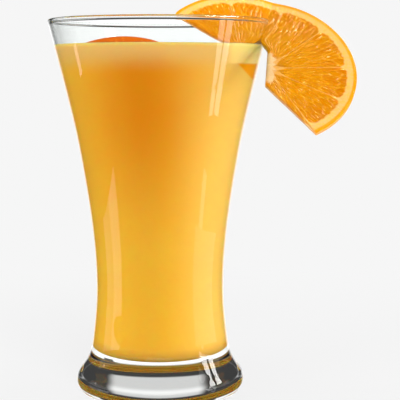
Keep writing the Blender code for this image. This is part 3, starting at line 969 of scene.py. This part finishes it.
def crest_mesh(crest, level):
    """A crown of a disc: an upright arc carried through a rounded section across its thickness."""
    across = np.array((cos(crest.turned), sin(crest.turned), 0.0))
    back = np.array((-sin(crest.turned), cos(crest.turned), 0.0))
    upward = cos(crest.lean) * np.array((0.0, 0.0, 1.0)) + sin(crest.lean) * back
    facing = np.cross(across, upward)
    half = acos((crest.radius - crest.shows - crest.sunk) / crest.radius)
    turn_of = np.linspace(-half, half, 121)[:, None]
    around = np.linspace(0.0, 2 * pi, 64, endpoint=False)[None, :]
    top = crest.shows - crest.radius * (1 - np.cos(turn_of))
    middle, reach = (top - crest.sunk) / 2, np.maximum((top + crest.sunk) / 2, 0.0)
    lift = np.sign(np.sin(around)) * np.abs(np.sin(around)) ** 0.45
    depth = np.sign(np.cos(around)) * np.abs(np.cos(around)) ** 0.45
    ripple = 1 + 0.04 * np.sin(turn_of * 70) * np.sin(around * 3)
    end = np.sqrt(np.clip(1 - (turn_of / half) ** 8, 0.0, 1.0))
    x = crest.radius * np.sin(turn_of) + 0 * around
    y = middle + reach * lift * np.where(lift > 0, 1.0, ripple)
    z = crest.thickness / 2 * depth * end
    start = np.array((crest.x, crest.y, level))
    points = start + x[..., None] * across + y[..., None] * upward + z[..., None] * facing
    return points.reshape(-1, 3), grid_faces(121, 64, wrap=True)


class JUICE_OT_crest(bpy.types.Operator):
    """Builds the crest of the second slice, which breaks the juice's surface"""

    bl_idname = "juice.crest"
    bl_label = "Build Crest"

    def execute(self, context):
        crest = context.scene.juice_crest
        points, faces = crest_mesh(crest, context.scene.juice_drink.level)
        points, faces, _ = welded(points, faces)
        piece = new_piece("fruit_crest", points, faces, [crest_material(crest)])
        face_outward(piece, 2e-6)
        seat_piece(piece, "sunk_slice")
        return {"FINISHED"}


# Stage


def card(name, corners, strength):
    """A four-cornered surface that only reflections show, with the light that it gives them."""
    made, tree, shader = new_material(name)
    tree.nodes.remove(shader)
    light = add(tree, "ShaderNodeEmission", {"Strength": strength})
    tree.links.new(light.outputs[0], tree.nodes["Material Output"].inputs["Surface"])
    made.cycles.emission_sampling = "NONE"
    mesh = bpy.data.meshes.new(name)
    mesh.from_pydata(corners, [], [(0, 1, 2, 3)])
    mesh.materials.append(made)
    piece = into_scene(name, mesh)
    piece.visible_camera = piece.visible_diffuse = piece.visible_shadow = False
    piece.visible_transmission = False


def panel_light(name, place, target, size, watts):
    """A square area light that points at a target and that no reflection holds."""
    light = bpy.data.lights.new(name, "AREA")
    light.size = size
    light.energy = watts
    piece = into_scene(name, light)
    away = Vector(place) - Vector(target)
    piece.matrix_world = Matrix.Translation(place) @ away.to_track_quat("Z", "Y").to_matrix().to_4x4()
    piece.visible_camera = piece.visible_glossy = piece.visible_transmission = False


def room(scene, stage):
    """Surroundings: pale near the level of the glass, greyer with height and dark overhead.

    Narrow dark bars near the level of the rim darken the edges of the clear wall, and dark corners higher
    up darken the sides of the foot. What the glass mirrors is dark toward the front. What the camera sees
    directly is the even backdrop. Each band fades in and out between two angles.
    """
    world = bpy.data.worlds.new("room")
    scene.world = world
    world.use_nodes = True
    tree = world.node_tree
    tree.nodes.clear()
    direction = add(tree, "ShaderNodeTexCoord").outputs["Generated"]
    x, y, z = add(tree, "ShaderNodeSeparateXYZ", {"Vector": direction}).outputs[:3]
    level = ramp_between(tree, z, sin(radians(4)), sin(radians(15)), stage.white, stage.grey)
    overhead = ramp_between(tree, z, sin(radians(17)), sin(radians(22)))
    bearing = math(tree, "ABSOLUTE", math(tree, "ARCTAN2", x, y))
    off_bar = math(tree, "ABSOLUTE", math(tree, "SUBTRACT", bearing, radians(27)))
    near_level = math(tree, "ABSOLUTE", math(tree, "SUBTRACT", z, sin(radians(3))))
    bar = math(
        tree,
        "MULTIPLY",
        ramp_between(tree, off_bar, radians(5.0), radians(3.0)),
        ramp_between(tree, near_level, sin(radians(7)), sin(radians(5))),
    )
    fold = math(tree, "PINGPONG", bearing, radians(45))
    side = math(
        tree, "MULTIPLY", ramp_between(tree, fold, radians(18), radians(25)), ramp_between(tree, z, 0.10, 0.15)
    )
    frontward = ramp_between(tree, bearing, radians(18), radians(32))
    low = math(tree, "MULTIPLY", frontward, ramp_between(tree, z, 0.15, 0.10))
    path = add(tree, "ShaderNodeLightPath").outputs
    mirrored = math(tree, "MULTIPLY", low, math(tree, "GREATER_THAN", path["Glossy Depth"], 0.5))
    dark = math(tree, "MAXIMUM", math(tree, "MAXIMUM", overhead, bar), math(tree, "MAXIMUM", side, mirrored))
    kept = math(tree, "SUBTRACT", 1.0, dark)
    level = math(tree, "ADD", math(tree, "MULTIPLY", level, kept), math(tree, "MULTIPLY", dark, stage.dark))
    around = add(tree, "ShaderNodeBackground", {"Color": (1.0, 1.0, 1.0, 1.0), "Strength": level})
    seen = add(tree, "ShaderNodeBackground", {"Color": (*stage.backdrop, 1.0)})
    out = add(tree, "ShaderNodeOutputWorld")
    show_either(tree, path["Is Camera Ray"], around, seen, out.name)


def floor(stage):
    """A pale floor as even as the backdrop, which takes a faint shadow near the glass."""
    made, tree, shader = new_material("pale_floor")
    x, y, _ = place_of(tree)[:3]
    away = math(tree, "SQRT", math(tree, "ADD", math(tree, "MULTIPLY", x, x), math(tree, "MULTIPLY", y, y)))
    shaded = ramp_between(tree, away, 0.05, 0.30, 0.15, 0.0)
    fix(shader, {"Base Color": (0.63, 0.63, 0.63, 1.0), "Roughness": 1.0, "Specular IOR Level": 0.0})
    show_either(tree, shaded, add(tree, "ShaderNodeEmission", {"Color": (*stage.backdrop, 1.0)}), shader)
    made.cycles.emission_sampling = "NONE"
    mesh = bpy.data.meshes.new("floor")
    wide, drop = 6.0, -0.0003
    corners = [(-wide, -wide, drop), (wide, -wide, drop), (wide, wide, drop), (-wide, wide, drop)]
    mesh.from_pydata(corners, [], [(0, 1, 2, 3)])
    mesh.materials.append(made)
    piece = into_scene("floor", mesh)
    piece.visible_glossy = piece.visible_transmission = piece.visible_diffuse = piece.visible_shadow = False


def upright(x, low, high):
    """Corners of a card across X: the two ends in Y and the height of its lower and of its upper edge."""
    (near, far, bottom), (top_near, top_far, top) = low, high
    return [(x, near, bottom), (x, far, bottom), (x, top_far, top), (x, top_near, top)]


def side_cards():
    """What the glass reflects from beside it.

    Two bars on the right, which a small card carries on beside the slice, low windows on each side, lamps
    high on the right, a bar low on the right, the foot's two streaks, and a black flag that keeps the
    lamps out of the foot.
    """
    right, left, beside = 0.22, -0.22, 0.0405
    bar, window, streak = 3.7, 1.6, 13.0
    inner = [(right, -0.095, 0.020), (right, -0.072, 0.027), (right, -0.085, 0.079), (right, -0.114, 0.068)]
    outer = [(right, -0.066, 0.029), (right, -0.036, 0.035), (right, -0.048, 0.090), (right, -0.077, 0.081)]
    by_slice = [
        (beside, -0.0355, 0.1305),
        (beside, -0.0318, 0.1330),
        (beside, -0.0284, 0.1135),
        (beside, -0.0322, 0.1115),
    ]
    low_right = [(right, -0.090, -0.02), (right, -0.060, -0.02), (right, -0.060, 0.015), (right, -0.090, 0.013)]
    card("right_bar_inner", inner, bar)
    card("right_bar_outer", outer, bar)
    card("right_bar_beside_slice", by_slice, bar)
    card("right_low", low_right, window)
    card("left_low", upright(left, (-0.094, -0.02, -0.02), (-0.094, -0.02, 0.014)), window)
    card("left_soft", upright(left, (-0.02, 0.05, -0.02), (-0.02, 0.05, 0.014)), window / 2)
    card("left_high", upright(left, (0.010, 0.030, 0.068), (0.010, 0.030, 0.085)), 2.4)
    for name, near, far in (("above_near", -0.20, -0.09), ("above_far", -0.05, 0.10)):
        card(name, [(0.35, near, 0.34), (0.35, far, 0.34), (0.28, far, 0.48), (0.28, near, 0.48)], 42.0)
    card("lower_bar", upright(0.030, (-0.0300, -0.0110, 0.0234), (-0.0300, -0.0110, 0.0640)), 0.7)
    card("foot_streak_near", upright(0.055, (-0.0360, -0.0260, 0.0235), (-0.0260, -0.0185, 0.0410)), streak)
    card("foot_streak_far", upright(0.055, (-0.0235, -0.0150, 0.0225), (-0.0165, -0.0100, 0.0360)), streak)
    card("flag", upright(0.16, (-0.13, 0.08, 0.14), (-0.13, 0.08, 0.236)), 0.0)


def camera(stage):
    """The camera at the photograph's angle."""
    lens = bpy.data.cameras.new("view")
    lens.sensor_width = 36.0
    lens.angle = stage.field
    lens.clip_start = 0.01
    piece = into_scene("view", lens)
    piece.location = stage.eye
    piece.rotation_euler = (pi / 2 - stage.pitch, 0.0, 0.0)
    bpy.context.scene.camera = piece


class JUICE_OT_stage(bpy.types.Operator):
    """Sets up the floor, the lights and the camera"""

    bl_idname = "juice.stage"
    bl_label = "Set Up Stage"

    def execute(self, context):
        scene = context.scene
        stage = scene.juice_stage
        scene.view_settings.view_transform = "Standard"
        scene.cycles.caustics_refractive = False
        scene.cycles.caustics_reflective = False
        scene.cycles.transparent_max_bounces = 16
        room(scene, stage)
        floor(stage)
        side_cards()
        middle = (0.02, 0.0, 0.10)
        panel_light("key", (0.22, -0.63, 0.42), middle, 0.30, 5.7)
        panel_light("fill", (-0.50, -0.50, 0.30), middle, 0.40, 3.2)
        panel_light("right_side", (0.55, 0.06, 0.10), (0.0, 0.0, 0.07), 0.35, 3.2)
        panel_light("left_side", (-0.55, 0.15, 0.14), middle, 0.35, 2.6)
        panel_light("back", (-0.10, 0.60, 0.36), middle, 0.40, 1.5)
        panel_light("above", (0.00, -0.05, 0.85), middle, 0.50, 1.5)
        panel_light("below", (0.00, -0.10, -0.40), middle, 0.40, 0.9)
        camera(stage)
        return {"FINISHED"}


# Sidebar and start


class JUICE_PT_sidebar(bpy.types.Panel):
    """Lists the pieces of the glass of juice"""

    bl_idname = "JUICE_PT_sidebar"
    bl_label = "Glass of Orange Juice"
    bl_space_type = "VIEW_3D"
    bl_region_type = "UI"
    bl_category = "Juice"

    def draw(self, context):
        for group, operator in PARTS:
            box = self.layout.box()
            settings = getattr(context.scene, group)
            for name in type(settings).__annotations__:
                box.prop(settings, name)
            box.operator(operator)


PARTS = [
    ("juice_glass", "juice.glass"),
    ("juice_drink", "juice.juice"),
    ("juice_slice", "juice.slice"),
    ("juice_crest", "juice.crest"),
    ("juice_stage", "juice.stage"),
]
GROUPS = {
    "juice_glass": GlassSettings,
    "juice_drink": JuiceSettings,
    "juice_slice": SliceSettings,
    "juice_crest": CrestSettings,
    "juice_stage": StageSettings,
}
OPERATORS = [JUICE_OT_glass, JUICE_OT_juice, JUICE_OT_slice, JUICE_OT_crest, JUICE_OT_stage]


def register():
    for made in [*GROUPS.values(), *OPERATORS, JUICE_PT_sidebar]:
        bpy.utils.register_class(made)
    for name, group in GROUPS.items():
        setattr(bpy.types.Scene, name, bpy.props.PointerProperty(type=group))


def unregister():
    for name in GROUPS:
        delattr(bpy.types.Scene, name)
    for made in reversed([*GROUPS.values(), *OPERATORS, JUICE_PT_sidebar]):
        bpy.utils.unregister_class(made)


def main():
    register()
    bpy.ops.juice.glass()
    bpy.ops.juice.juice()
    bpy.ops.juice.slice()
    bpy.ops.juice.crest()
    bpy.ops.juice.stage()


if __name__ == "__main__":
    main()
